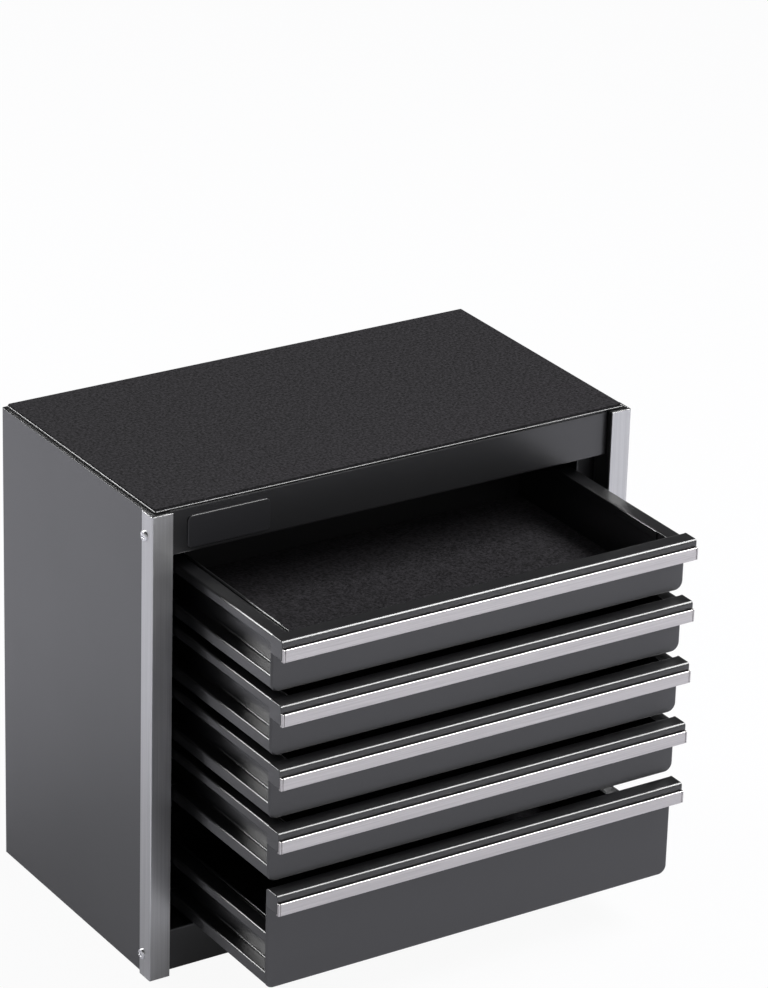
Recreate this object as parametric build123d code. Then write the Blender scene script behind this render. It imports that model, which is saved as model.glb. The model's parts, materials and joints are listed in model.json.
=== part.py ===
from build123d import *
import os

# A bench-top steel drawer chest, in millimetres. The origin is the middle of the footprint on the bench,
# +X is the viewer's right, +Y is to the back and +Z is up. The drawers stand pulled out, as pictured.

# Outside sizes and sheet
cabinet_width = 330.0  # over the corner trims
cabinet_depth = 183.0  # from the front of the trims to the back
sheet = 0.8  # folded steel sheet of the cabinet and the drawers
fold_round = 0.8  # outside rounding of a fold, which is pressed sharp inside
weld_flange = 12.0  # flanges that lie on a neighbour and are spot welded to it

# Corner trims
trim_sheet = 1.2
trim_front_leg = 13.5
trim_side_leg = 12.0
trim_bend = 0.5
trim_chamfer = 1.5
screw_head_diameter = 6.4
screw_head_height = 1.6
screw_shank_diameter = 3.0
screw_length = 6.0
screw_head_taper = 1.0  # how much the head draws in towards its top
screw_hole_clearance = 0.2
screw_from_front = 9.0
screw_from_end = 14.5

# Base, lid and mat
base_sheet = 0.8
base_inset = 4.5  # base plate's edge from the outside of the cabinet
base_corner = 5.0  # clipped off each corner of the base plate
lid_height = 1.6
lid_side_inset = 1.8  # lid's edge from the outside of the side panels
lid_front_inset = 1.5
lid_corner = 2.0
mat_thickness = 1.0
mat_side_inset = 0.9
mat_front_inset = 2.6
mat_corner = 2.5

# Rails above and below the drawers
top_rail_height = 29.0
kick_rail_height = 27.7
rail_setback = 4.7  # rail face behind the front of the trims
badge_width = 54.5
badge_height = 20.0
badge_thickness = 1.0
badge_corner = 3.0
badge_from_end = 12.0
badge_from_top = 6.0

# Drawer stack, from the top
drawer_count = 5
top_gap = 10.5  # between the top rail and the first drawer
drawer_gap = 3.5  # between one drawer front and the next
kick_gap = 5.7  # between the bottom drawer and the kick rail
front_height = 36.5
deep_front_height = 66.3  # the bottom drawer
pulled_out = 110.0  # how far the drawers stand open
spare_travel = 4.0  # from there to the stop

# Drawer front
front_side_gap = 10.2  # from the door jamb to the end of the front
hood_depth = 10.7
lip_height = 11.7
front_return = 1.6  # depth of the rim behind the face
front_corner = 5.5
front_edge_round = 1.4

# Pull strip
strip_thickness = 2.0
strip_drop = 4.5  # top of the strip below the top of the hood
strip_hook = 0.7
strip_end_gap = 0.1  # from each end of the front
strip_edge_round = 0.5

# Tray and its liner
tray_inset = 11.9  # tray wall inside the end of the front
tray_bottom = 1.6  # bottom of the tray above the bottom of the front
tray_top_gap = 0.8  # top of the wall below the top of a shallow front
tray_rear_gap = 8.0  # behind the closed tray
hem_height = 5.0
hem_setback = 10.5
liner_thickness = 1.5
liner_gap = 0.3  # liner from the tray wall

# Stepped runners and the guide rails inside them
runner_depth = 10.1
runner_step = 0.9  # top of the runner below the top of the tray wall
runner_lip = 6.0
runner_shelf = 6.7  # shelf above the bottom of the runner
side_play = 0.7
running_clearance = 0.4
lip_clearance = 1.2
guide_brim = 5.5
guide_inset = 3.0  # ends of a guide rail inside the ends of its carrier
carrier_gap = 1.0  # from the runner to the carrier
carrier_rear_gap = 6.0
closing_clearance = 0.3  # closed front from the carrier it lands on
jamb_gap = 2.4  # jamb's rear edge from the carrier

# Heights that follow
drawer_pitch = front_height + drawer_gap
shallow_stack = (drawer_count - 1) * drawer_pitch
kick_top = base_sheet + kick_rail_height
rail_bottom = kick_top + kick_gap + deep_front_height + shallow_stack + top_gap
cabinet_height = rail_bottom + top_rail_height
lid_top = cabinet_height + lid_height

# Widths that follow, on the right-hand side
trim_x = cabinet_width / 2
side_x = trim_x - trim_sheet
side_inner_x = side_x - sheet
jamb_x = trim_x - trim_front_leg
front_x = jamb_x - front_side_gap
tray_x = front_x - tray_inset
carrier_x = tray_x + runner_depth + carrier_gap

# Depths that follow
trim_y = -cabinet_depth / 2
front_y = trim_y + trim_sheet
back_y = cabinet_depth / 2
back_inner_y = back_y - 2 * sheet
rail_y = trim_y + rail_setback
closed_face_y = rail_y + strip_thickness + hood_depth
face_y = closed_face_y - pulled_out
carrier_front_y = closed_face_y + front_return + closing_clearance
carrier_rear_y = back_inner_y - carrier_rear_gap
jamb_rear_y = carrier_front_y - jamb_gap
tray_back_y = back_inner_y - tray_rear_gap - pulled_out
runner_front_y = face_y + front_return

# Section of a drawer's side, as heights above the bottom of its front
tray_top = front_height - tray_top_gap
runner_top = tray_top - runner_step
shelf_bottom = tray_bottom + runner_shelf
shelf_top = shelf_bottom + sheet
lip_bottom = runner_top - runner_lip


def block(x, y, z):
    """A plate between two limits on each axis."""
    limits = (x, y, z)
    size = [high - low for low, high in limits]
    middle = [(high + low) / 2 for low, high in limits]
    return Pos(*middle) * Box(*size)


def folded(points, plane, length):
    """A folded sheet: one face runs through the points, and the metal lies to the left of them."""
    line = [Vector(*point) for point in points]
    runs = [(end - start).normalized() for start, end in zip(line, line[1:])]
    lefts = [Vector(-run.Y, run.X) for run in runs]
    far_side = [line[0] + lefts[0] * sheet]
    near_rounds = []
    for corner, before, after in zip(line[1:], lefts, lefts[1:]):
        far_side.append(corner + (before + after) * (sheet / (1 + before.dot(after))))
        turns_left = before.cross(after).Z > 0
        near_rounds.append(fold_round if turns_left else 0)
    far_rounds = [fold_round - near for near in near_rounds]
    far_side.append(line[-1] + lefts[-1] * sheet)
    radii = [0, *near_rounds, 0, 0, *reversed(far_rounds), 0]
    section = FilletPolyline(*line, *reversed(far_side), radius=radii, close=True)
    return extrude(plane * make_face(section), length)


def mirrored(part):
    """The same piece on the other side of the chest."""
    return mirror(part, about=Plane.YZ)


def edges_at(part, axis, *places):
    """Straight edges along one axis whose middle has the given value on each other axis."""
    nearness = 0.01
    edges = part.edges().filter_by(axis)
    for other, value in places:
        edges = edges.filter_by_position(other, value - nearness, value + nearness)
    return edges


def rounded_sheet(x, y, z, corner):
    """A flat sheet with round corners."""
    return fillet(block(x, y, z).edges().filter_by(Axis.Z), corner)


def screw_places():
    """Height of each trim screw."""
    return [screw_from_end, cabinet_height - screw_from_end]


def screw_holes():
    """Cutters for the right-hand trim screws, through the trim and the side panel."""
    radius = screw_shank_diameter / 2 + screw_hole_clearance
    reach = trim_sheet + 2 * sheet
    hole = Rot(0, 90, 0) * Cylinder(radius, 2 * reach)
    return [Pos(side_x, trim_y + screw_from_front, z) * hole for z in screw_places()]


def side_flange(low):
    """Top or bottom flange of the right-hand side, with the round corners of its folds."""
    plate = block((jamb_x, side_x), (front_y, back_y), (low, low + sheet))
    free_end = edges_at(plate, Axis.Z, (Axis.X, jamb_x), (Axis.Y, back_y))
    return fillet(plate.edges().filter_by(Axis.Z) - free_end, fold_round)


def side_panel():
    """Right-hand side: jamb, front flange, side and back flange, with flanges at top and bottom."""
    plan = [
        (jamb_x, jamb_rear_y),
        (jamb_x, front_y),
        (side_x, front_y),
        (side_x, back_y),
        (jamb_x, back_y),
    ]
    wall_bottom = base_sheet + sheet
    wall_top = cabinet_height - sheet
    panel = folded(plan, Plane.XY.offset(wall_bottom), wall_top - wall_bottom)
    panel += side_flange(base_sheet)
    panel += side_flange(wall_top)
    return panel - screw_holes()


def back_panel():
    """Back: a channel with top and bottom flanges, and wings that lie on the sides' back flanges."""
    outer_y = back_y - sheet
    flange_y = outer_y - weld_flange
    section = [
        (flange_y, base_sheet),
        (outer_y, base_sheet),
        (outer_y, cabinet_height),
        (flange_y, cabinet_height),
    ]
    panel = folded(section, Plane.YZ.offset(-jamb_x), 2 * jamb_x)
    wing_x = side_inner_x - closing_clearance
    wing_z = (base_sheet + sheet, cabinet_height - sheet)
    return panel + block((-wing_x, wing_x), (back_inner_y, outer_y), wing_z)


def base_plate():
    """Flat bottom sheet under the flanges of the sides, the back and the kick rail."""
    edge_x = side_x - base_inset
    y = (rail_y + base_inset, back_y - base_inset)
    plate = block((-edge_x, edge_x), y, (0, base_sheet))
    return chamfer(plate.edges().filter_by(Axis.Z), base_corner)


def lid_limits():
    """The lid's limits along X and Y."""
    edge_x = side_x - lid_side_inset
    return (-edge_x, edge_x), (front_y + lid_front_inset, back_y - lid_front_inset)


def top_lid():
    """Shallow lid with its rim turned down on to the cabinet's top flanges."""
    x, y = lid_limits()
    lid = rounded_sheet(x, y, (cabinet_height, lid_top), lid_corner)
    inner_x = (x[0] + sheet, x[1] - sheet)
    inner_y = (y[0] + sheet, y[1] - sheet)
    return lid - rounded_sheet(inner_x, inner_y, (cabinet_height, lid_top - sheet), lid_corner - sheet)


def top_mat():
    """Soft mat on the lid."""
    x, y = lid_limits()
    mat_x = (x[0] + mat_side_inset, x[1] - mat_side_inset)
    mat_y = (y[0] + mat_front_inset, y[1] - mat_side_inset)
    return rounded_sheet(mat_x, mat_y, (lid_top, lid_top + mat_thickness), mat_corner)


def cross_rail(bottom, top):
    """Folded rail between the jambs, with flanges to the back at all four edges of its face."""
    rear_y = rail_y + weld_flange
    section = [(rear_y, top), (rail_y, top), (rail_y, bottom), (rear_y, bottom)]
    rail = folded(section, Plane.YZ.offset(-jamb_x), 2 * jamb_x)
    end = block((jamb_x - sheet, jamb_x), (rail_y + sheet, rear_y), (bottom + sheet, top - sheet))
    return rail + end + mirrored(end)


def corner_trim():
    """Right-hand silver angle over the front corner."""
    plan = Polyline(
        (trim_x - trim_front_leg, trim_y),
        (trim_x, trim_y),
        (trim_x, trim_y + trim_side_leg),
        (side_x, trim_y + trim_side_leg),
        (side_x, front_y),
        (trim_x - trim_front_leg, front_y),
        close=True,
    )
    trim = extrude(make_face(plan), cabinet_height)
    trim = fillet(edges_at(trim, Axis.Z, (Axis.X, trim_x), (Axis.Y, trim_y)), trim_bend + trim_sheet)
    front_ends = edges_at(trim, Axis.Y, (Axis.X, trim_x - trim_front_leg))
    side_ends = edges_at(trim, Axis.X, (Axis.Y, trim_y + trim_side_leg))
    trim = chamfer(front_ends + side_ends, trim_chamfer)
    return trim - screw_holes()


def trim_screw():
    """Pan-head screw along +X from the origin, its head drawn in towards the top."""
    head = screw_head_diameter / 2
    shank = screw_shank_diameter / 2
    outline = Polyline(
        (0, screw_head_height),
        (head - screw_head_taper, screw_head_height),
        (head, 0),
        (shank, 0),
        (shank, -screw_length),
        (0, -screw_length),
        close=True,
    )
    return Rot(0, 90, 0) * revolve(make_face(Plane.XZ * outline), Axis.Z)


def trim_screws():
    """Two screws in each trim."""
    y = trim_y + screw_from_front
    right = [Pos(trim_x, y, z) * trim_screw() for z in screw_places()]
    return right + [mirrored(screw) for screw in right]


def badge_plate():
    """Bare raised plate at the left of the top rail."""
    left = -jamb_x + badge_from_end
    top = cabinet_height - badge_from_top
    plate = block(
        (left, left + badge_width),
        (rail_y - badge_thickness, rail_y),
        (top - badge_height, top),
    )
    return fillet(plate.edges().filter_by(Axis.Y), badge_corner)


def slide_carrier():
    """Right-hand inner wall that carries the guide rails, welded to the side panel by its returns."""
    plan = [
        (side_inner_x, carrier_rear_y - weld_flange),
        (side_inner_x, carrier_rear_y),
        (carrier_x, carrier_rear_y),
        (carrier_x, carrier_front_y),
        (side_inner_x, carrier_front_y),
        (side_inner_x, carrier_front_y + weld_flange),
    ]
    bottom = base_sheet + sheet
    return folded(plan, Plane.XY.offset(bottom), cabinet_height - sheet - bottom)


def hook_x():
    """Outer face of a guide rail's upright hook, close to the runner's web."""
    return tray_x + sheet + side_play + sheet


def guide_rail(bottom):
    """Right-hand guide: a brim over the runner's shelf, a foot on the carrier and a hook behind the lip."""
    front_end = carrier_front_y + guide_inset
    rear_end = carrier_rear_y - guide_inset
    step = bottom + lip_bottom - lip_clearance
    hook_top = bottom + runner_top - sheet - running_clearance
    brim_bottom = bottom + shelf_top + running_clearance
    section = [
        (carrier_x - guide_brim, brim_bottom),
        (carrier_x, brim_bottom),
        (carrier_x, step),
        (hook_x(), step),
        (hook_x(), hook_top),
    ]
    rail = folded(section, Plane.XZ.offset(-rear_end), rear_end - front_end)
    return rail + guide_stop(bottom)


def stop_tab_limits(bottom):
    """Heights that the two stop tabs share."""
    return bottom + lip_bottom + running_clearance, bottom + runner_top - sheet - running_clearance


def guide_stop(bottom):
    """Tab on a guide rail's hook that ends the drawer's travel."""
    tab_rear = tray_back_y - sheet - spare_travel
    tab_x = (hook_x(), tray_x + runner_depth - sheet - running_clearance)
    return block(tab_x, (tab_rear - sheet, tab_rear), stop_tab_limits(bottom))


def side_runner(bottom):
    """Right-hand stepped runner on the tray wall: lip, top flange, web, shelf and lower face."""
    outer_x = tray_x + runner_depth
    section = [
        (outer_x, bottom + lip_bottom),
        (outer_x, bottom + runner_top),
        (tray_x, bottom + runner_top),
        (tray_x, bottom + shelf_bottom),
        (outer_x - sheet, bottom + shelf_bottom),
        (outer_x - sheet, bottom + tray_bottom),
    ]
    runner = folded(section, Plane.XZ.offset(-tray_back_y), tray_back_y - runner_front_y)
    low, high = stop_tab_limits(bottom)
    tab_x = (hook_x() + running_clearance, outer_x - sheet)
    return runner + block(tab_x, (tray_back_y - sheet, tray_back_y), (low, high))


def tray(bottom):
    """Tray folded up from its floor, with end walls and a hem along the top of its side and back walls."""
    front = face_y + sheet
    floor = bottom + tray_bottom
    top = bottom + tray_top
    section = [(-tray_x, top), (-tray_x, floor), (tray_x, floor), (tray_x, top)]
    shell = folded(section, Plane.XZ.offset(-tray_back_y), tray_back_y - front)
    inner_x = tray_x - sheet
    wall_x = (-inner_x, inner_x)
    shell += block(wall_x, (front, front + sheet), (floor, top - hem_height))
    shell += block(wall_x, (tray_back_y - sheet, tray_back_y), (floor, top))
    hem_z = (top - hem_height, top)
    hem_back_y = tray_back_y - 2 * sheet
    shell += block(wall_x, (hem_back_y, tray_back_y - sheet), hem_z)
    side_hem = block((inner_x - sheet, inner_x), (front + hem_setback, tray_back_y - sheet), hem_z)
    return shell + side_hem + mirrored(side_hem)


def drawer_front(bottom, height):
    """Folded front: a shallow pan, with a hood and lip along its top and a plate at each end of the hood."""
    top = bottom + height
    lip_bottom_z = top - lip_height
    rear = face_y + front_return
    nose = face_y - hood_depth
    pan = block((-front_x, front_x), (face_y, rear), (bottom, lip_bottom_z))
    pan = fillet(edges_at(pan, Axis.Y, (Axis.Z, bottom)), front_corner)
    face_edges = pan.faces().sort_by(Axis.Y)[0].edges()
    pan = fillet(face_edges - edges_at(pan, Axis.X, (Axis.Z, lip_bottom_z)), front_edge_round)
    inner_x = front_x - sheet
    hollow = block((-inner_x, inner_x), (face_y + sheet, rear), (bottom + sheet, lip_bottom_z))
    pan -= fillet(edges_at(hollow, Axis.Y, (Axis.Z, bottom + sheet)), front_corner - sheet)
    drop_y = face_y + sheet
    section = [(drop_y, lip_bottom_z), (drop_y, top), (nose, top), (nose, lip_bottom_z)]
    hood = folded(section, Plane.YZ.offset(-inner_x), 2 * inner_x)
    corners = [(nose, lip_bottom_z), (nose, top), (rear, top), (rear, lip_bottom_z)]
    end = make_face(FilletPolyline(*corners, radius=[0, fold_round, 0, 0], close=True))
    plate = extrude(Plane.YZ.offset(inner_x) * end, sheet)
    return pan + hood + plate + mirrored(plate)


def pull_strip(top):
    """Aluminium strip on the face of the lip, hooked under its lower edge."""
    half = front_x - strip_end_gap
    lip_y = face_y - hood_depth
    low = top - lip_height - strip_hook
    bar = block((-half, half), (lip_y - strip_thickness, lip_y), (low, top - strip_drop))
    bar = fillet(bar.faces().sort_by(Axis.Y)[0].edges(), strip_edge_round)
    hook = block((-half, half), (lip_y - strip_thickness / 2, lip_y + sheet), (low, low + strip_hook))
    return bar + hook


def liner(bottom):
    """Soft sheet on the tray floor."""
    floor = bottom + tray_bottom + sheet
    wall_gap = sheet + liner_gap
    edge_x = tray_x - wall_gap
    y = (face_y + sheet + wall_gap, tray_back_y - wall_gap)
    return block((-edge_x, edge_x), y, (floor, floor + liner_thickness))


def drawer_places():
    """Bottom and height of each drawer front, from the top drawer down."""
    first_top = rail_bottom - top_gap
    tops = [first_top - drawer_pitch * index for index in range(drawer_count)]
    heights = [front_height] * (drawer_count - 1) + [deep_front_height]
    return [(top - height, height) for top, height in zip(tops, heights)]


def save(name, *pieces):
    """Writes one node, with its pieces as separate solids."""
    solids = [solid for piece in pieces for solid in piece.solids()]
    shape = solids[0] if len(solids) == 1 else Compound(solids)
    export_step(shape, os.path.join("parts", name + ".step"))


def save_both_sides(name, part):
    """Writes a right-hand piece and its mirror image as two nodes."""
    save(name + "_right", part)
    save(name + "_left", mirrored(part))


os.makedirs("parts", exist_ok=True)
save_both_sides("side_panel", side_panel())
save_both_sides("corner_trim", corner_trim())
save_both_sides("slide_carrier", slide_carrier())
save("back_panel", back_panel())
save("base_plate", base_plate())
save("top_lid", top_lid())
save("top_mat", top_mat())
save("top_rail", cross_rail(rail_bottom, cabinet_height))
save("kick_rail", cross_rail(base_sheet, kick_top))
save("trim_screws", *trim_screws())
save("badge_plate", badge_plate())
guides = [guide_rail(bottom) for bottom, height in drawer_places()]
save("guide_rails_right", *guides)
save("guide_rails_left", *[mirrored(guide) for guide in guides])
for number, (bottom, height) in enumerate(drawer_places(), start=1):
    runner = side_runner(bottom)
    save(f"drawer_{number}_tray", tray(bottom))
    save(f"drawer_{number}_side_runners", runner, mirrored(runner))
    save(f"drawer_{number}_front", drawer_front(bottom, height))
    save(f"drawer_{number}_pull_strip", pull_strip(bottom + height))
    save(f"drawer_{number}_liner", liner(bottom))
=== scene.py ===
"""Looks of a bench-top steel drawer chest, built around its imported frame.

The chest stands on the floor with +X to the viewer's right, +Y to the back and +Z up. Lengths are in metres.
Every sheet is a closed section carried along a path, worked out as whole arrays.
"""
import json
import math

import bmesh
import bpy
import numpy as np
from bpy.props import FloatProperty, FloatVectorProperty, IntProperty, PointerProperty
from mathutils import Matrix, Vector

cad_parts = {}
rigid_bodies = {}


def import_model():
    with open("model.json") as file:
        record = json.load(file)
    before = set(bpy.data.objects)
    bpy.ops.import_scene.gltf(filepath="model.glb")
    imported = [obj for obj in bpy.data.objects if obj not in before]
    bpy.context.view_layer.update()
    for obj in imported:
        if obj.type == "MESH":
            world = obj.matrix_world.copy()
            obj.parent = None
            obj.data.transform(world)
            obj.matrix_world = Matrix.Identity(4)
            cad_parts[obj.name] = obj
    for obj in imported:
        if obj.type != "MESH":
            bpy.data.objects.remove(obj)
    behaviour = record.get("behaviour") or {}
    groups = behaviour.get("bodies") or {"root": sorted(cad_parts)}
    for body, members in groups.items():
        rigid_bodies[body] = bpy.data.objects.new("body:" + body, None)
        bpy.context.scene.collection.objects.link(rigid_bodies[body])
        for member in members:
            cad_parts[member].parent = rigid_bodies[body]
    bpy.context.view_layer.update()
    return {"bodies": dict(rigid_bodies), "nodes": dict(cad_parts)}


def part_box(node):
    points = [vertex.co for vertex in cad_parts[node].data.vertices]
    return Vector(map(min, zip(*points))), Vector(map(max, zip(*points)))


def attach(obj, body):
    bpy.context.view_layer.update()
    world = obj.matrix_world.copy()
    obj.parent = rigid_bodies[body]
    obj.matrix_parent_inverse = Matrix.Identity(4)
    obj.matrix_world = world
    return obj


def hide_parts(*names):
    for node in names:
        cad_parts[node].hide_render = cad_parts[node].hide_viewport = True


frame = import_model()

bl_info = {
    "name": "Drawer chest",
    "version": (1, 0, 0),
    "blender": (4, 5, 0),
    "location": "View3D > Sidebar > Chest",
    "description": "Folded sheets, trims, drawers and finishes of a bench-top drawer chest",
    "category": "Object",
}

MM = 0.001
CABINET = "cabinet"
DRAWERS = sorted(name for name in frame["bodies"] if name != CABINET)
SIDES = {"right": 1, "left": -1}
SHORTEST_STEP = 1e-8  # points of a path closer than this are one point
SHARP_ANGLE = math.radians(40)  # edges that turn by more stay sharp
HEM_ROLL = 0.9  # rounding of a hem's top, as a share of the sheet
FLOOR_REACH = 4.0
LAMP_AIM = (0, 0, 0.15)
# Soft boxes, placed where the long folds mirror them to the front left. Each has its place in metres, its turn
# about its own axis in degrees, its width and depth in metres and its power in watts.
SOFT_BOXES = {
    "right_box": ((1.1, -0.75, 2.0), 37, 1.6, 0.9, 90),
    "back_box": ((-0.92, 1.62, 1.41), -41, 1.36, 0.5, 44),
    "front_box": ((0.2, -2.0, 1.6), 0, 1.6, 1.0, 16),
}


def linear(hex_colour):
    """sRGB hex to linear red, green and blue."""
    channels = np.array([int(hex_colour[start:start + 2], 16) for start in (1, 3, 5)]) / 255
    return tuple(np.where(channels <= 0.04045, channels / 12.92, ((channels + 0.055) / 1.055) ** 2.4))


def length(name, millimetres, description):
    """A length setting, given in millimetres and kept in metres."""
    return FloatProperty(name=name, description=description, default=millimetres * MM, min=0,
                         subtype="DISTANCE", unit="LENGTH", precision=5)


def colour(name, hex_colour, description):
    """A colour setting, given in sRGB hex."""
    return FloatVectorProperty(name=name, description=description, default=linear(hex_colour),
                               size=3, min=0, max=1, subtype="COLOR")


def share(name, default, description):
    """A setting between 0 and 1."""
    return FloatProperty(name=name, description=description, default=default, min=0, max=1, subtype="FACTOR")


class SheetSizes(bpy.types.PropertyGroup):
    """Sizes of the folded sheets that the frame's boxes don't give."""
    sheet: length("Sheet", 0.8, "Thickness of the steel sheet")
    fold: length("Fold", 1.3, "Outside radius of an ordinary fold")
    cut: length("Cut edge", 0.25, "Softening of a cut edge of the sheet")
    tight_fold: length("Tight fold", 0.1, "Folds at the top and bottom of a side panel, and a trim's edges")
    flange: length("Flange", 5.0, "Width of the flanges at the top and bottom of a side panel")
    jamb_depth: length("Jamb depth", 15.7, "Depth of the jamb beside the drawers")
    arc_steps: IntProperty(name="Arc steps", description="Facets of each rounded corner", default=7, min=2)


class DrawerSizes(bpy.types.PropertyGroup):
    """Sizes of a drawer that the frame's boxes don't give."""
    front_return: length("Front return", 1.6, "Depth of the folded rim behind the face of a front")
    end_corner: length("End corner", 2.0, "Radius of the rear top corner of the plates at a hood's ends")
    front_corner: length("Front corner", 5.5, "Radius of the lower corners of a front")
    front_edge: length("Front edge", 1.4, "Rounding from the face of a front to its rim")
    hood_fold: length("Hood fold", 1.8, "Outside radius of the front fold of a hood")
    lip: length("Lip", 11.7, "Height of the lip under the hood of a front")
    strip_round: length("Strip edge", 0.5, "Rounding of the edges of a pull strip")
    strip_thickness: length("Strip thickness", 2.0, "Thickness of a pull strip on the face of the lip")
    strip_hook: length("Strip hook", 0.7, "Height of the hook under the lip")
    strip_skin: length("Strip skin", 0.7, "Thickness of a pull strip above the groove behind its top edge")
    strip_groove: length("Strip groove", 2.0, "Depth of that groove")
    strip_cap: length("Strip cap", 0.9, "Width of the cap at each end of a pull strip")
    strip_seam: length("Strip seam", 0.35, "Width of the seam beside the cap")
    hem: length("Hem", 5.0, "Height of the hem along the top of a tray wall")
    hem_setback: length("Hem setback", 10.5, "Distance of the hem's ends from the front wall of the tray")
    runner_lip: length("Runner lip", 6.0, "Height of the lip of a side runner")
    runner_shelf: length("Runner shelf", 6.7, "Height of a runner's shelf above its foot")
    runner_root: length("Runner root", 2.2, "Outside radius of the fold between a runner's wall and its shelf")
    runner_curl: length("Runner curl", 1.1, "Lower edge of a runner's lip, curled inwards")


class TrimSizes(bpy.types.PropertyGroup):
    """Sizes of the trims, the lid, the mat and the badge plate."""
    angle_sheet: length("Trim sheet", 1.2, "Thickness of the corner trims")
    angle_round: length("Trim corner", 0.7, "Rounding of the corner of a trim")
    screw_recess: length("Screw recess", 1.0, "Depth of the cross recess in a screw")
    screw_arm: length("Recess arm", 1.0, "Width of an arm of the cross recess")
    lid_corner: length("Lid corner", 1.2, "Radius of the lid's corners")
    lid_edge: length("Lid edge", 0.45, "Rounding of the lid's top edge")
    lid_tuck: length("Lid tuck", 1.4, "How far the rim of the lid leans in at its lower edge")
    mat_corner: length("Mat corner", 1.0, "Radius of the mat's corners")
    mat_edge: length("Mat edge", 0.45, "Rounding of the top edge of the mat and of the liners")
    badge_corner: length("Badge corner", 3.0, "Radius of the badge plate's corners")
    badge_edge: length("Badge edge", 0.5, "Rounding of the badge plate's edge")


class Finishes(bpy.types.PropertyGroup):
    """Colours and gloss of the finishes."""
    paint: colour("Paint", "#09090b", "Black powder coat on the folded steel")
    paint_roughness: share("Paint roughness", 0.4, "Blur of what the powder coat reflects")
    coat: share("Coat", 0.6, "Share of the sharper gloss on top of the powder coat")
    coat_roughness: share("Coat roughness", 0.2, "Blur of that gloss")
    foam: colour("Foam", "#1a191b", "Black foam of the mat and the liners")
    trim: colour("Trim", "#c4c4c4", "Satin aluminium of the corner trims")
    strip: colour("Strip", "#c5c2c1", "Brushed aluminium of the pull strips")
    screw: colour("Screw", "#ececee", "Bright nickel plating on the screws")
    badge: colour("Badge", "#18181a", "Gloss black plastic of the badge plate")


class StageSizes(bpy.types.PropertyGroup):
    """Camera and light."""
    azimuth: FloatProperty(name="Azimuth", description="Camera's turn from the front, to the right",
                           default=math.radians(-33.03), subtype="ANGLE", unit="ROTATION")
    elevation: FloatProperty(name="Elevation", description="Camera's height over the horizon",
                             default=math.radians(23.89), subtype="ANGLE", unit="ROTATION")
    roll: FloatProperty(name="Roll", description="Camera's turn about its own axis",
                        default=math.radians(1.67), subtype="ANGLE", unit="ROTATION")
    position: FloatVectorProperty(name="Position", description="Where the camera stands",
                                  default=(-1.3149, -2.0985, 1.3420), subtype="TRANSLATION", unit="LENGTH")
    lens: FloatProperty(name="Lens", description="Focal length in millimetres on a 36 mm sensor", default=163.93)
    floor: colour("Floor", "#a8a8af", "Pale studio floor")
    ambient: share("Ambient", 0.5, "Strength of the room's light on diffuse surfaces")
    ceiling: share("Ceiling", 0.01, "Brightness of the room overhead in reflections, with white walls below")
    floor_white: share("Floor white", 0.94, "How far the floor is plain white to the camera")
    floor_shine: share("Floor shine", 0.1, "How far the floor is plain white in reflections")


def settings(group):
    """The scene's settings of one group."""
    return getattr(bpy.context.scene, "chest_" + group)


def box(node):
    """Lowest and highest corner of a node of the frame, as one array."""
    return np.array(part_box(node))


# Surfaces


def round_path(corners, radii, insets, closed):
    """A path with round corners, moved to its left by each inset: one row of points for each inset.

    A corner moves along the sum of the left normals of its two runs, divided by one plus their dot product.
    An arc replaces it, from one tangent point to the other, with a radius that shrinks by the inset on a left
    turn and grows by it on a right turn.
    """
    corners = np.asarray(corners, float)
    insets = np.atleast_1d(np.asarray(insets, float))[:, None, None]
    runs = np.diff(corners, axis=0, append=corners[:1])
    if not closed:
        runs = np.vstack([runs[:-1], runs[-2:-1]])
    runs = runs / np.linalg.norm(runs, axis=1, keepdims=True)
    lefts = np.stack([-runs[:, 1], runs[:, 0]], axis=1)
    first = slice(-1, None) if closed else slice(0, 1)
    run_before = np.vstack([runs[first], runs[:-1]])
    left_before = np.vstack([lefts[first], lefts[:-1]])
    cosine = (left_before * lefts).sum(1)
    turn = np.arctan2((left_before[:, 0] * lefts[:, 1] - left_before[:, 1] * lefts[:, 0]), cosine)
    moved = corners + insets * ((left_before + lefts) / (1 + cosine)[:, None])
    bend = np.sign(turn)[:, None]
    radius = np.maximum(np.asarray(radii, float)[:, None] - insets * bend, 0)
    start = moved - run_before * radius * np.tan(np.abs(turn) / 2)[:, None]
    centre = start + bend * left_before * radius
    angle = np.abs(turn)[:, None] * np.linspace(0, 1, settings("sheet").arc_steps + 1)
    across = bend * left_before * radius
    along = run_before * radius
    arcs = centre[:, :, None] - across[:, :, None] * np.cos(angle)[..., None]
    arcs = arcs + along[:, :, None] * np.sin(angle)[..., None]
    path = arcs.reshape(len(arcs), -1, 2)
    steps = np.linalg.norm(np.diff(path, axis=1, append=path[:, :1]), axis=2).max(0)
    steps[-1] = 1 if not closed else steps[-1]
    return path[:, steps > SHORTEST_STEP]


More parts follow.
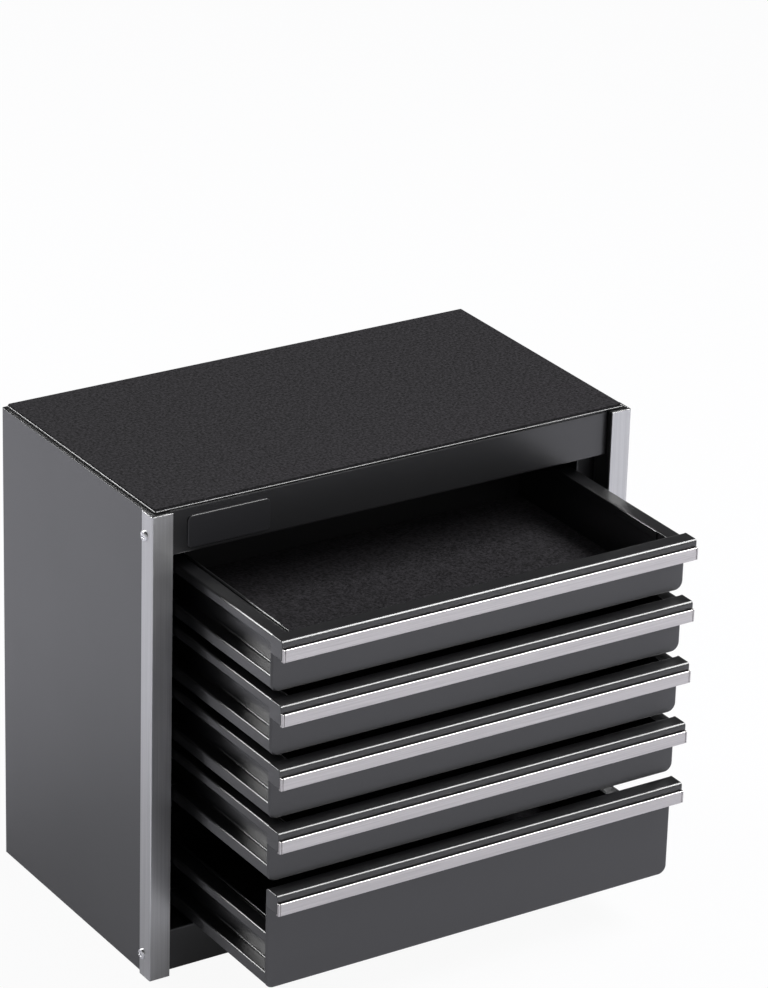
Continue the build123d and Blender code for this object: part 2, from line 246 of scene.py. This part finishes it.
def sheet_loop(points, thickness, fold, cut=0.0, open_start=False):
    """Section of a folded sheet: along the points, round the far end, and back at the sheet's thickness.

    The metal lies to the left of the points, or to the right for a negative thickness. A fold has its given
    radius on its outside and that less the thickness on its inside. With an open start the loop begins and
    ends square at the first point, where flat faces close it.
    """
    line = np.asarray(points, float)
    runs = np.diff(line, axis=0)
    runs = runs / np.linalg.norm(runs, axis=1, keepdims=True)
    lefts = np.stack([-runs[:, 1], runs[:, 0]], axis=1)
    before = np.vstack([lefts[:1], lefts])
    after = np.vstack([lefts, lefts[-1:]])
    far = line + thickness * (before + after) / (1 + (before * after).sum(1))[:, None]
    turn = lefts[:-1, 0] * lefts[1:, 1] - lefts[:-1, 1] * lefts[1:, 0]
    fold = np.broadcast_to(fold, len(turn))
    inner = np.maximum(fold - abs(thickness), cut)
    near_radii = np.where(turn * thickness > 0, fold, inner)
    far_radii = np.where(turn * thickness > 0, inner, fold)
    begin = 0.0 if open_start else cut
    radii = np.concatenate([[begin], near_radii, [cut, cut], far_radii[::-1], [begin]])
    loop = np.vstack([line, far[::-1]])
    return loop, radii


def grid_faces(rows, columns, ring_rows, ring_columns):
    """Four-sided faces between neighbouring points of a grid, joined up where it closes on itself."""
    index = np.arange(rows * columns).reshape(rows, columns)
    if ring_columns:
        index = np.hstack([index, index[:, :1]])
    if ring_rows:
        index = np.vstack([index, index[:1]])
    faces = np.stack([index[:-1, :-1], index[:-1, 1:], index[1:, 1:], index[1:, :-1]], axis=-1)
    return faces.reshape(-1, 4).tolist()


def carried(corners, radii, profile, axes, path_closed=True, profile_closed=False):
    """A profile of inset and height carried along a path: the path moved in by the inset, at that height.

    The axes say which of X, Y and Z the path's two coordinates and the height are. Flat faces close the ends:
    the first and last rows where the profile is open, and the ends of the path where that is open.
    """
    profile = np.asarray(profile, float)
    path = round_path(corners, radii, profile[:, 0], path_closed)
    rows, columns = path.shape[:2]
    height = np.broadcast_to(profile[:, 1, None, None], (rows, columns, 1))
    points = np.empty((rows, columns, 3))
    points[..., list(axes)] = np.concatenate([path, height], axis=2)
    faces = grid_faces(rows, columns, profile_closed, path_closed)
    index = np.arange(rows * columns).reshape(rows, columns)
    if not profile_closed:
        faces += [index[0].tolist(), index[-1].tolist()]
    if not path_closed:
        faces += [index[:, 0].tolist(), index[:, -1].tolist()]
    if not profile_closed and not path_closed:
        faces.append([index[0, 0], index[0, -1], index[-1, -1], index[-1, 0]])
    return points.reshape(-1, 3), faces


def quarter(radius):
    """A quarter circle from (radius, 0) to (0, radius), as pairs of inset and height."""
    angle = np.linspace(0, math.pi / 2, settings("sheet").arc_steps + 1)
    return np.stack([radius * (1 - np.sin(angle)), radius * (1 - np.cos(angle))], axis=1)


def extruded(corners, radii, low, high, axes, low_round=0.0, high_round=0.0):
    """A closed outline carried from one height to another, with quarter rounds at its ends."""
    bottom = quarter(low_round) + (0, low) if low_round else np.array([[0, low]])
    top = quarter(high_round)[::-1] * (1, -1) + (0, high) if high_round else np.array([[0, high]])
    corners, radii = leftward(corners, radii)
    return carried(corners, radii, np.vstack([bottom, top]), axes)


def leftward(corners, radii):
    """A closed outline turned so that its inside lies to its left."""
    corners = np.asarray(corners, float)
    radii = np.asarray(radii, float)
    after = np.roll(corners, -1, axis=0)
    area = (corners[:, 0] * after[:, 1] - corners[:, 1] * after[:, 0]).sum()
    return (corners, radii) if area > 0 else (corners[::-1], radii[::-1])


def rectangle(low, high):
    """Corners of a rectangle, with its inside to the left."""
    return [(low[0], low[1]), (high[0], low[1]), (high[0], high[1]), (low[0], high[1])]


def pan(corners, radii, face, rim, axes, fold, closed=True, tuck=0.0):
    """A sheet pan: a flat face at one height and a rim folded to another, hollow behind the face.

    A tuck leans the rim in by that much at its free edge.
    """
    sheet = settings("sheet")
    reach = 2 * fold + sheet.sheet
    points = [(reach, face), (0, face), (tuck, rim)]
    thickness = sheet.sheet * np.sign(face - rim)
    loop, loop_radii = sheet_loop(points, thickness, fold, sheet.cut, open_start=True)
    profile = round_path(loop, loop_radii, 0, closed=True)[0]
    return carried(corners, radii, profile, axes, path_closed=closed)


def mirrored(part):
    """The same part on the other side of the chest."""
    points, faces = part
    return points * (-1, 1, 1), faces


def piece(name, parts, finish, body, node):
    """One object made of closed parts, smooth across its folds, that stands for a node of the frame."""
    mesh = bpy.data.meshes.new(name)
    points = np.vstack([part[0] for part in parts])
    starts = np.cumsum([0] + [len(part[0]) for part in parts])
    faces = [[corner + start for corner in face] for part, start in zip(parts, starts) for face in part[1]]
    mesh.from_pydata(points.tolist(), [], faces)
    work = bmesh.new()
    work.from_mesh(mesh)
    bmesh.ops.recalc_face_normals(work, faces=work.faces)
    work.to_mesh(mesh)
    work.free()
    mesh.shade_smooth()
    mesh.set_sharp_from_angle(angle=SHARP_ANGLE)
    mesh.materials.append(finish)
    made = bpy.data.objects.new(name, mesh)
    bpy.context.scene.collection.objects.link(made)
    flatten = made.modifiers.new("flat_faces", "WEIGHTED_NORMAL")
    flatten.keep_sharp = True
    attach(made, body)
    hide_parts(node)
    return made


# Finishes


def add_node(tree, kind, inputs=None, **options):
    """Adds a node with its options, and links or sets its inputs."""
    made = tree.nodes.new(kind)
    for name, value in options.items():
        setattr(made, name, value)
    for name, value in (inputs or {}).items():
        if isinstance(value, bpy.types.NodeSocket):
            tree.links.new(value, made.inputs[name])
        else:
            made.inputs[name].default_value = value
    return made


def new_material(name):
    """An empty material, its node tree and the coordinates of the piece in metres."""
    material = bpy.data.materials.new(name)
    material.use_nodes = True
    tree = material.node_tree
    tree.nodes.clear()
    place = add_node(tree, "ShaderNodeTexCoord").outputs["Object"]
    return material, tree, place


def surface(tree, inputs):
    """The principled shader and the material's output."""
    shader = add_node(tree, "ShaderNodeBsdfPrincipled", inputs)
    add_node(tree, "ShaderNodeOutputMaterial", {"Surface": shader.outputs["BSDF"]})


def per_metre(millimetres):
    """Scale of a pattern whose grains are that many millimetres apart."""
    return 1 / (millimetres * MM)


def powder_coat():
    """Semi-gloss black powder coat on steel: soft reflections, with the faint ripple of the melted powder."""
    finish = settings("finish")
    material, tree, place = new_material("black_powder_coat")
    ripple = add_node(tree, "ShaderNodeTexNoise", {"Vector": place, "Scale": per_metre(2.2), "Detail": 2.0})
    grain = add_node(tree, "ShaderNodeTexNoise", {"Vector": place, "Scale": per_metre(0.6), "Detail": 1.0})
    height = add_node(tree, "ShaderNodeMath", {0: ripple.outputs["Fac"], 1: grain.outputs["Fac"]},
                      operation="ADD")
    bump = add_node(tree, "ShaderNodeBump",
                    {"Height": height.outputs[0], "Strength": 0.03, "Distance": 0.2 * MM})
    cloud = add_node(tree, "ShaderNodeTexNoise", {"Vector": place, "Scale": per_metre(60), "Detail": 3.0})
    gloss = add_node(tree, "ShaderNodeMapRange",
                     {"Value": cloud.outputs["Fac"], "To Min": finish.paint_roughness - 0.03,
                      "To Max": finish.paint_roughness + 0.03})
    surface(tree, {"Base Color": (*finish.paint, 1), "Roughness": gloss.outputs["Result"], "IOR": 1.6,
                   "Normal": bump.outputs["Normal"], "Coat Weight": finish.coat,
                   "Coat Roughness": finish.coat_roughness})
    return material


def foam():
    """Black EVA foam sheet: matt, with a fine pebbled skin."""
    finish = settings("finish")
    material, tree, place = new_material("eva_foam")
    pebble = add_node(tree, "ShaderNodeTexVoronoi", {"Vector": place, "Scale": per_metre(1.6)})
    speck = add_node(tree, "ShaderNodeTexNoise", {"Vector": place, "Scale": per_metre(1.6), "Detail": 2.0})
    bump = add_node(tree, "ShaderNodeBump",
                    {"Height": pebble.outputs["Distance"], "Strength": 0.45, "Distance": 0.5 * MM})
    tint = add_node(tree, "ShaderNodeMapRange", {"Value": speck.outputs["Fac"], "From Min": 0.3, "From Max": 0.7,
                                                 "To Min": 0.3, "To Max": 1.7})
    base = add_node(tree, "ShaderNodeVectorMath", {0: finish.foam, "Scale": tint.outputs["Result"]},
                    operation="SCALE")
    surface(tree, {"Base Color": base.outputs["Vector"], "Roughness": 0.8, "IOR": 1.2,
                   "Normal": bump.outputs["Normal"]})
    return material


def brushed(name, tint, along, roughness, spacing):
    """Aluminium with fine lines along one axis: lighter and darker streaks, glossier along the lines."""
    material, tree, place = new_material(name)
    stretch = [per_metre(spacing)] * 3
    stretch[along] = per_metre(spacing * 120)
    lines = add_node(tree, "ShaderNodeMapping", {"Vector": place, "Scale": stretch})
    streak = add_node(tree, "ShaderNodeTexNoise",
                      {"Vector": lines.outputs["Vector"], "Scale": 1.0, "Detail": 3.0})
    shade = add_node(tree, "ShaderNodeMapRange", {"Value": streak.outputs["Fac"], "From Min": 0.25,
                                                  "From Max": 0.75, "To Min": 0.86, "To Max": 1.08})
    base = add_node(tree, "ShaderNodeVectorMath", {0: tint, "Scale": shade.outputs["Result"]}, operation="SCALE")
    gloss = add_node(tree, "ShaderNodeMapRange", {"Value": streak.outputs["Fac"], "To Min": roughness - 0.06,
                                                  "To Max": roughness + 0.06})
    bump = add_node(tree, "ShaderNodeBump",
                    {"Height": streak.outputs["Fac"], "Strength": 0.06, "Distance": 0.05 * MM})
    surface(tree, {"Base Color": base.outputs["Vector"], "Metallic": 1.0, "Roughness": gloss.outputs["Result"],
                   "Normal": bump.outputs["Normal"]})
    return material


def trim_aluminium():
    """Satin anodised aluminium angle, drawn along its length."""
    return brushed("satin_aluminium", settings("finish").trim, along=2, roughness=0.37, spacing=0.8)


def strip_aluminium():
    """Brushed aluminium strip, with the brush lines along the drawer."""
    return brushed("brushed_aluminium", settings("finish").strip, along=0, roughness=0.36, spacing=0.5)


def screw_nickel():
    """Nickel plated screw: bright, with turning rings too fine to see one by one."""
    finish = settings("finish")
    material, tree, place = new_material("nickel_plated_steel")
    cloud = add_node(tree, "ShaderNodeTexNoise", {"Vector": place, "Scale": per_metre(1.5), "Detail": 2.0})
    gloss = add_node(tree, "ShaderNodeMapRange", {"Value": cloud.outputs["Fac"], "To Min": 0.24, "To Max": 0.36})
    surface(tree, {"Base Color": (*finish.screw, 1), "Metallic": 1.0, "Roughness": gloss.outputs["Result"]})
    return material


def badge_plastic():
    """Moulded gloss black ABS: smooth, with a very slight waviness."""
    finish = settings("finish")
    material, tree, place = new_material("gloss_black_abs")
    wave = add_node(tree, "ShaderNodeTexNoise", {"Vector": place, "Scale": per_metre(8), "Detail": 1.0})
    bump = add_node(tree, "ShaderNodeBump",
                    {"Height": wave.outputs["Fac"], "Strength": 0.02, "Distance": 0.2 * MM})
    surface(tree, {"Base Color": (*finish.badge, 1), "Roughness": 0.34, "IOR": 1.53,
                   "Normal": bump.outputs["Normal"]})
    return material


FINISHES = {
    "black_paint": powder_coat,
    "foam_mat": foam,
    "trim_aluminium": trim_aluminium,
    "strip_aluminium": strip_aluminium,
    "screw_steel": screw_nickel,
    "badge_plastic": badge_plastic,
}
MADE_FINISHES = {}


def finish_of(slot):
    """The material of one of the record's slots, made once."""
    if slot not in MADE_FINISHES:
        MADE_FINISHES[slot] = FINISHES[slot]()
    return MADE_FINISHES[slot]


XY_Z = (0, 1, 2)
XZ_Y = (0, 2, 1)
YZ_X = (1, 2, 0)


class CHEST_OT_side_panels(bpy.types.Operator):
    """Folded sides: jamb, front flange, side and back flange, turned over at the top and the bottom"""
    bl_idname = "chest.side_panels"
    bl_label = "Side panels"

    def execute(self, context):
        size = settings("sheet")
        low, high = box("side_panel_right")
        path = [(low[0], low[1] + size.jamb_depth), (low[0], low[1]), (high[0], low[1]), (high[0], high[1]),
                (low[0], high[1])]
        radii = [0, size.fold, size.fold, size.fold, 0]
        section = [(size.flange, high[2]), (0, high[2]), (0, low[2]), (size.flange, low[2])]
        loop, loop_radii = sheet_loop(section, size.sheet, size.tight_fold, size.cut)
        profile = round_path(loop, loop_radii, 0, closed=True)[0]
        right = carried(path, radii, profile, XY_Z, path_closed=False, profile_closed=True)
        for side, sign in SIDES.items():
            name = "side_panel_" + side
            part = right if sign > 0 else mirrored(right)
            piece(name + "_sheet", [part], finish_of("black_paint"), CABINET, name)
        return {"FINISHED"}


class CHEST_OT_corner_trims(bpy.types.Operator):
    """Silver angles over the front corners"""
    bl_idname = "chest.corner_trims"
    bl_label = "Corner trims"

    def execute(self, context):
        size = settings("trim")
        low, high = box("corner_trim_right")
        path = [(low[0], low[1]), (high[0], low[1]), (high[0], high[1])]
        section = rectangle((0, low[2]), (size.angle_sheet, high[2]))
        profile = round_path(section, [settings("sheet").tight_fold] * 4, 0, closed=True)[0]
        right = carried(path, [0, size.angle_round, 0], profile, XY_Z, path_closed=False, profile_closed=True)
        for side, sign in SIDES.items():
            name = "corner_trim_" + side
            part = right if sign > 0 else mirrored(right)
            piece(name + "_angle", [part], finish_of("trim_aluminium"), CABINET, name)
        return {"FINISHED"}


class CHEST_OT_trim_screws(bpy.types.Operator):
    """Pan-head screws with a cross recess"""
    bl_idname = "chest.trim_screws"
    bl_label = "Trim screws"

    def head(self, radius, height):
        """Polar grid along +X: a straight rim with a dome on it, less a cross recess.

        The dome's height goes with the square root of one less the square of the radius. The recess has its full
        depth up to half an arm's width from the middle of either arm, and slopes out over a quarter of that half.
        """
        size = settings("trim")
        turns = np.linspace(0, 2 * math.pi, 64, endpoint=False)
        rings = np.concatenate([np.linspace(0.02, 0.86, 22), [0.92, 0.96, 0.985, 1.0]]) * radius
        ring, turn = np.meshgrid(rings, turns, indexing="ij")
        across, up = ring * np.cos(turn), ring * np.sin(turn)
        dome = height * (0.35 + 0.65 * np.sqrt(np.maximum(1 - (ring / radius) ** 2, 0)))
        half = size.screw_arm / 2
        from_arm = np.minimum(np.abs(across), np.abs(up))
        slope = np.clip((1.25 * half - from_arm) / (0.25 * half), 0, 1)
        reach = np.clip((0.62 * radius - ring) / (0.08 * radius), 0, 1)
        dome = dome - np.minimum(size.screw_recess, 0.75 * height) * slope * reach
        top = np.stack([dome, across, up], axis=-1)
        foot = np.stack([np.zeros(len(turns)), across[-1], up[-1]], axis=-1)[None]
        points = np.concatenate([top, foot])
        faces = grid_faces(len(points), len(turns), False, True)
        index = np.arange(len(points) * len(turns)).reshape(len(points), -1)
        faces += [index[0].tolist(), index[-1].tolist()]
        return points.reshape(-1, 3), faces

    def execute(self, context):
        low, high = box("trim_screws")
        face = box("corner_trim_right")[1][0]
        radius = (high[1] - low[1]) / 2
        points, faces = self.head(radius, high[0] - face)
        parts = []
        for height in (low[2] + radius, high[2] - radius):
            place = np.array([face, (low[1] + high[1]) / 2, height])
            right = (points + place, faces)
            parts += [right, mirrored(right)]
        piece("trim_screw_heads", parts, finish_of("screw_steel"), CABINET, "trim_screws")
        return {"FINISHED"}


class CHEST_OT_top(bpy.types.Operator):
    """Shallow lid and the foam mat on it"""
    bl_idname = "chest.top"
    bl_label = "Lid and mat"

    def execute(self, context):
        size = settings("trim")
        low, high = box("top_lid")
        lid = pan(rectangle(low, high), [size.lid_corner] * 4, high[2], low[2], XY_Z, size.lid_edge,
                  tuck=size.lid_tuck)
        piece("top_lid_sheet", [lid], finish_of("black_paint"), CABINET, "top_lid")
        low, high = box("top_mat")
        mat = extruded(rectangle(low, high), [size.mat_corner] * 4, low[2], high[2], XY_Z,
                       high_round=size.mat_edge)
        piece("top_mat_foam", [mat], finish_of("foam_mat"), CABINET, "top_mat")
        return {"FINISHED"}


class CHEST_OT_rails(bpy.types.Operator):
    """Folded rails above and below the drawers"""
    bl_idname = "chest.rails"
    bl_label = "Rails"

    def execute(self, context):
        size = settings("sheet")
        for name in ("top_rail", "kick_rail"):
            low, high = box(name)
            outline = rectangle(low[[0, 2]], high[[0, 2]])
            rail = pan(outline, [size.cut] * 4, low[1], high[1], XZ_Y, size.fold)
            piece(name + "_sheet", [rail], finish_of("black_paint"), CABINET, name)
        return {"FINISHED"}


class CHEST_OT_badge(bpy.types.Operator):
    """Bare raised plate on the top rail"""
    bl_idname = "chest.badge"
    bl_label = "Badge plate"

    def execute(self, context):
        size = settings("trim")
        low, high = box("badge_plate")
        outline = rectangle(low[[0, 2]], high[[0, 2]])
        plate = extruded(outline, [size.badge_corner] * 4, low[1], high[1], XZ_Y, low_round=size.badge_edge)
        piece("badge_plate_blank", [plate], finish_of("badge_plastic"), CABINET, "badge_plate")
        return {"FINISHED"}


class CHEST_OT_inner_frame(bpy.types.Operator):
    """Finishes of the plain inner sheets, which keep the frame's own shapes"""
    bl_idname = "chest.inner_frame"
    bl_label = "Inner frame"

    def execute(self, context):
        names = ["back_panel", "base_plate"]
        names += [sheet + side for sheet in ("slide_carrier_", "guide_rails_") for side in SIDES]
        for name in names:
            mesh = frame["nodes"][name].data
            mesh.materials.clear()
            mesh.materials.append(finish_of("black_paint"))
        return {"FINISHED"}


class CHEST_OT_drawer_fronts(bpy.types.Operator):
    """Folded drawer fronts: a shallow pan, a hood with its lip, and a plate at each end of the hood"""
    bl_idname = "chest.drawer_fronts"
    bl_label = "Drawer fronts"

    def execute(self, context):
        sheet = settings("sheet")
        size = settings("drawer")
        for drawer in DRAWERS:
            name = drawer + "_front"
            low, high = box(name)
            lip_low = high[2] - size.lip
            face = high[1] - size.front_return
            path = [(low[0], lip_low), (low[0], low[2]), (high[0], low[2]), (high[0], lip_low)]
            radii = [0, size.front_corner, size.front_corner, 0]
            body = pan(path, radii, face, high[1], XZ_Y, size.front_edge, closed=False)
            drop = face + sheet.sheet
            section = [(drop, lip_low), (drop, high[2]), (low[1], high[2]), (low[1], lip_low)]
            hood = extruded(*sheet_loop(section, sheet.sheet, [sheet.fold, size.hood_fold], sheet.cut),
                            low[0] + sheet.sheet, high[0] - sheet.sheet, YZ_X)
            end = extruded(rectangle((low[1], lip_low), (high[1], high[2])),
                           [sheet.cut, sheet.cut, size.end_corner, size.hood_fold],
                           high[0] - sheet.sheet, high[0], YZ_X, high_round=sheet.sheet / 2)
            parts = [body, hood, end, mirrored(end)]
            piece(name + "_sheet", parts, finish_of("black_paint"), drawer, name)
        return {"FINISHED"}


class CHEST_OT_pull_strips(bpy.types.Operator):
    """Aluminium strips on the lips of the drawer fronts, hooked under their lower edge"""
    bl_idname = "chest.pull_strips"
    bl_label = "Pull strips"

    def execute(self, context):
        sheet = settings("sheet")
        size = settings("drawer")
        for drawer in DRAWERS:
            name = drawer + "_pull_strip"
            low, high = box(name)
            back = low[1] + size.strip_thickness
            edge = size.strip_round
            skin = low[1] + size.strip_skin
            groove = high[2] - size.strip_groove
            section = [(low[1], low[2]), (back, low[2]), (back, groove), (skin, groove), (skin, high[2]),
                       (low[1], high[2])]
            radii = [edge, sheet.cut, sheet.cut, sheet.cut, sheet.cut, edge]
            cap_end = high[0] - size.strip_cap
            bar_end = cap_end - size.strip_seam
            bar = extruded(section, radii, -bar_end, bar_end, YZ_X, sheet.cut, sheet.cut)
            cap = extruded(rectangle((low[1], low[2]), (back, high[2])), [edge, sheet.cut, sheet.cut, edge],
                           cap_end, high[0], YZ_X, sheet.cut, sheet.cut)
            core = extruded(rectangle((low[1] + edge, low[2] + edge), (back, groove - edge)), [0] * 4,
                            low[0] + edge, high[0] - edge, YZ_X)
            hook = extruded(rectangle((back - edge, low[2]), (high[1], low[2] + size.strip_hook)),
                            [0, sheet.cut, sheet.cut, 0], low[0], high[0], YZ_X)
            parts = [bar, cap, mirrored(cap), core, hook]
            piece(name + "_bar", parts, finish_of("strip_aluminium"), drawer, name)
        return {"FINISHED"}


class CHEST_OT_side_runners(bpy.types.Operator):
    """Stepped runners on both sides of each tray"""
    bl_idname = "chest.side_runners"
    bl_label = "Side runners"

    def execute(self, context):
        sheet = settings("sheet")
        size = settings("drawer")
        for drawer in DRAWERS:
            name = drawer + "_side_runners"
            low, high = box(name)
            tray_x = box(drawer + "_tray")[1][0]
            outer = high[0]
            shelf = low[2] + size.runner_shelf
            lip_low = high[2] - size.runner_lip
            section = [(outer - size.runner_curl, lip_low), (outer, lip_low), (outer, high[2]),
                       (tray_x, high[2]), (tray_x, shelf), (outer - sheet.sheet, shelf),
                       (outer - sheet.sheet, low[2])]
            folds = [size.runner_curl - sheet.cut, sheet.fold, sheet.fold, size.runner_root, sheet.fold]
            loop, radii = sheet_loop(section, sheet.sheet, folds, sheet.cut)
            right = extruded(loop, radii, low[1], high[1], XZ_Y, sheet.cut, sheet.cut)
            pair = [right, mirrored(right)]
            piece(name + "_sheet", pair, finish_of("black_paint"), drawer, name)
        return {"FINISHED"}


class CHEST_OT_trays(bpy.types.Operator):
    """Trays: a folded pan with a rolled hem along the side and back walls"""
    bl_idname = "chest.trays"
    bl_label = "Trays"

    def execute(self, context):
        sheet = settings("sheet")
        size = settings("drawer")
        for drawer in DRAWERS:
            name = drawer + "_tray"
            low, high = box(name)
            shrink = np.array([sheet.cut, sheet.cut, 0]) / 4
            walls = pan(rectangle(low + shrink, high - shrink), [sheet.fold] * 4, low[2], high[2] - sheet.cut,
                        XY_Z, sheet.fold)
            front = low[1] + size.hem_setback
            path = [(high[0], front), (high[0], high[1]), (low[0], high[1]), (low[0], front)]
            rolled = rectangle((0, high[2] - size.hem), (2 * sheet.sheet, high[2]))
            roll = sheet.sheet * HEM_ROLL
            profile = round_path(rolled, [sheet.cut, sheet.cut, roll, roll], 0, closed=True)[0]
            hem = carried(path, [0, sheet.fold, sheet.fold, 0], profile, XY_Z, path_closed=False,
                          profile_closed=True)
            piece(name + "_sheet", [walls, hem], finish_of("black_paint"), drawer, name)
        return {"FINISHED"}


class CHEST_OT_liners(bpy.types.Operator):
    """Foam sheets on the floors of the trays"""
    bl_idname = "chest.liners"
    bl_label = "Drawer liners"

    def execute(self, context):
        size = settings("trim")
        for drawer in DRAWERS:
            name = drawer + "_liner"
            low, high = box(name)
            sheet = extruded(rectangle(low, high), [size.mat_corner] * 4, low[2], high[2], XY_Z,
                             high_round=size.mat_edge)
            piece(name + "_foam", [sheet], finish_of("foam_mat"), drawer, name)
        return {"FINISHED"}


class CHEST_OT_stage(bpy.types.Operator):
    """Pale floor, soft studio light and the camera"""
    bl_idname = "chest.stage"
    bl_label = "Stage"

    def floor(self):
        """A wide pale floor, almost white to the camera, that keeps a faint shadow."""
        mesh = bpy.data.meshes.new("floor")
        corners = np.array([(-1, -1), (1, -1), (1, 1), (-1, 1)]) * FLOOR_REACH
        mesh.from_pydata([(x, y, 0) for x, y in corners], [], [(0, 1, 2, 3)])
        made = bpy.data.objects.new("floor", mesh)
        bpy.context.scene.collection.objects.link(made)
        material = bpy.data.materials.new("pale_floor")
        material.use_nodes = True
        tree = material.node_tree
        tree.nodes.clear()
        size = settings("stage")
        paint = add_node(tree, "ShaderNodeBsdfDiffuse", {"Color": (*size.floor, 1)})
        white = add_node(tree, "ShaderNodeEmission", {"Color": (1, 1, 1, 1), "Strength": 1.0})
        camera, mirror = self.rays(tree)
        straight = add_node(tree, "ShaderNodeMath", {0: camera, 1: size.floor_white}, operation="MULTIPLY")
        seen = add_node(tree, "ShaderNodeMath", {0: mirror, 1: size.floor_shine, 2: straight.outputs[0]},
                        operation="MULTIPLY_ADD")
        mix = add_node(tree, "ShaderNodeMixShader",
                       {0: seen.outputs[0], 1: paint.outputs[0], 2: white.outputs[0]})
        add_node(tree, "ShaderNodeOutputMaterial", {"Surface": mix.outputs[0]})
        mesh.materials.append(material)

    def rays(self, tree):
        """Two values: one for rays from the camera, and one for rays from gloss and through glass."""
        ray = add_node(tree, "ShaderNodeLightPath")
        mirror = add_node(tree, "ShaderNodeMath", {0: ray.outputs["Is Glossy Ray"],
                                                   1: ray.outputs["Is Transmission Ray"]}, operation="MAXIMUM")
        return ray.outputs["Is Camera Ray"], mirror.outputs[0]

    def room(self):
        """A white room to the camera. Reflections show its white walls, and a dim ceiling over them."""
        size = settings("stage")
        world = bpy.data.worlds.new("white_room")
        world.use_nodes = True
        tree = world.node_tree
        tree.nodes.clear()
        camera, mirror = self.rays(tree)
        way = add_node(tree, "ShaderNodeTexCoord").outputs["Generated"]
        height = add_node(tree, "ShaderNodeSeparateXYZ", {"Vector": way}).outputs["Z"]
        walls = add_node(tree, "ShaderNodeMapRange", {"Value": height, "From Min": 0.03, "From Max": 0.16,
                                                      "To Min": 1 - size.ambient,
                                                      "To Max": size.ceiling - size.ambient})
        shown = add_node(tree, "ShaderNodeMath", {0: mirror, 1: walls.outputs["Result"], 2: size.ambient},
                         operation="MULTIPLY_ADD")
        strength = add_node(tree, "ShaderNodeMath", {0: shown.outputs[0], 1: camera}, operation="MAXIMUM")
        back = add_node(tree, "ShaderNodeBackground", {"Color": (1, 1, 1, 1), "Strength": strength.outputs[0]})
        add_node(tree, "ShaderNodeOutputWorld", {"Surface": back.outputs[0]})
        bpy.context.scene.world = world

    def lamp(self, name, place, turn, width, depth, power):
        """A soft box that faces the middle of the chest, turned about its own axis by some degrees."""
        light = bpy.data.lights.new(name, "AREA")
        light.shape = "RECTANGLE"
        light.size = width
        light.size_y = depth
        light.energy = power
        made = bpy.data.objects.new(name, light)
        aim = Vector(LAMP_AIM) - Vector(place)
        facing = aim.to_track_quat("-Z", "Y").to_matrix().to_4x4()
        made.matrix_world = Matrix.Translation(place) @ facing @ Matrix.Rotation(math.radians(turn), 4, "Z")
        bpy.context.scene.collection.objects.link(made)

    def camera(self):
        """The camera, turned by azimuth, elevation and roll."""
        size = settings("stage")
        turn, tilt = size.azimuth, size.elevation
        right = Vector((math.cos(turn), math.sin(turn), 0))
        back = Vector((math.sin(turn) * math.cos(tilt), -math.cos(turn) * math.cos(tilt), math.sin(tilt)))
        up = back.cross(right)
        across = right * math.cos(size.roll) + up * math.sin(size.roll)
        upright = up * math.cos(size.roll) - right * math.sin(size.roll)
        data = bpy.data.cameras.new("camera")
        data.lens = size.lens
        data.sensor_width = 36
        made = bpy.data.objects.new("camera", data)
        axes = Matrix((across, upright, back)).transposed()
        made.matrix_world = Matrix.Translation(size.position) @ axes.to_4x4()
        bpy.context.scene.collection.objects.link(made)
        bpy.context.scene.camera = made

    def execute(self, context):
        self.floor()
        self.room()
        for name, values in SOFT_BOXES.items():
            self.lamp(name, *values)
        self.camera()
        context.scene.view_settings.view_transform = "Standard"
        return {"FINISHED"}


class CHEST_PT_panel(bpy.types.Panel):
    """Steps of the chest, in order"""
    bl_label = "Drawer chest"
    bl_idname = "CHEST_PT_panel"
    bl_space_type = "VIEW_3D"
    bl_region_type = "UI"
    bl_category = "Chest"

    def draw(self, context):
        for step in STEPS:
            self.layout.operator(step.bl_idname)


STEPS = (
    CHEST_OT_side_panels, CHEST_OT_corner_trims, CHEST_OT_trim_screws, CHEST_OT_top, CHEST_OT_rails,
    CHEST_OT_badge, CHEST_OT_inner_frame, CHEST_OT_drawer_fronts, CHEST_OT_pull_strips, CHEST_OT_side_runners,
    CHEST_OT_trays, CHEST_OT_liners, CHEST_OT_stage,
)
GROUPS = {"sheet": SheetSizes, "drawer": DrawerSizes, "trim": TrimSizes, "finish": Finishes, "stage": StageSizes}


def register():
    """Registers the settings, the steps and the panel."""
    for name, group in GROUPS.items():
        bpy.utils.register_class(group)
        setattr(bpy.types.Scene, "chest_" + name, PointerProperty(type=group))
    for step in STEPS:
        bpy.utils.register_class(step)
    bpy.utils.register_class(CHEST_PT_panel)


def unregister():
    """Takes them away again."""
    bpy.utils.unregister_class(CHEST_PT_panel)
    for step in reversed(STEPS):
        bpy.utils.unregister_class(step)
    for name, group in GROUPS.items():
        delattr(bpy.types.Scene, "chest_" + name)
        bpy.utils.unregister_class(group)


def main():
    """Builds every piece."""
    register()
    for step in STEPS:
        category, operator = step.bl_idname.split(".")
        getattr(getattr(bpy.ops, category), operator)()


if __name__ == "__main__":
    main()
